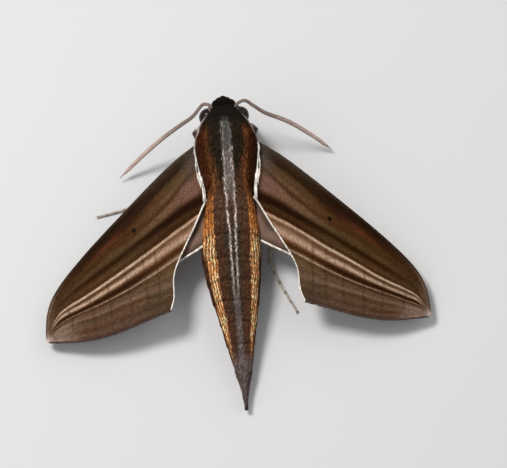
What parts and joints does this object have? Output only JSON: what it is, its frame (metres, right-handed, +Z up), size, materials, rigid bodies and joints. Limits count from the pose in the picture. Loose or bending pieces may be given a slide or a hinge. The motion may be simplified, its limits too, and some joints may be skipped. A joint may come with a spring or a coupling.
{
  "type": "hawk moth",
  "caption": "Hawk moth at rest on its feet: spindle body, swept narrow forewings over small hindwings, large eyes, hooked feelers and slim legs.",
  "frame": {"origin": "floor point under the centre of the model's box, midway along the body and between the wings", "axes": "+X to the moth's right and across the wings, +Y along the body towards the head, +Z up from the floor"},
  "size_m": [0.0502, 0.0414, 0.0107],
  "materials": {
    "coat_dark": "matt blackish olive hair scales",
    "coat_rust": "matt brown hair scales with rust streaks",
    "coat_gold": "satin brown scales with golden flank bands",
    "coat_grey": "matt grey-mauve scales",
    "forewing_scales": "satin wing scales in long stripes",
    "hindwing_scales": "matt blackish wing scales with a pinkish grey edge",
    "limb_scales": "matt pinkish brown scales",
    "tongue": "semi-matt amber brown",
    "eye": "glossy near black"
  },
  "bodies": {
    "root": {"head": "coat_dark", "thorax": "coat_rust", "shoulder_flap_right": "coat_rust", "shoulder_flap_left": "coat_rust", "abdomen_1": "coat_gold", "abdomen_2": "coat_gold", "abdomen_3": "coat_gold", "abdomen_4": "coat_gold", "abdomen_5": "coat_gold", "abdomen_6": "coat_gold", "abdomen_7": "coat_gold", "abdomen_8": "coat_gold", "tail_tuft": "coat_grey", "palp_right": "coat_grey", "palp_left": "coat_grey", "forewing_right": "forewing_scales", "forewing_left": "forewing_scales", "hindwing_right": "hindwing_scales", "hindwing_left": "hindwing_scales", "foreleg_right": "limb_scales", "foreleg_left": "limb_scales", "midleg_right": "limb_scales", "midleg_left": "limb_scales", "hindleg_right": "limb_scales", "hindleg_left": "limb_scales", "antenna_right": "limb_scales", "antenna_left": "limb_scales", "proboscis": "tongue", "eye_right": "eye", "eye_left": "eye"}
  },
  "joints": []
}
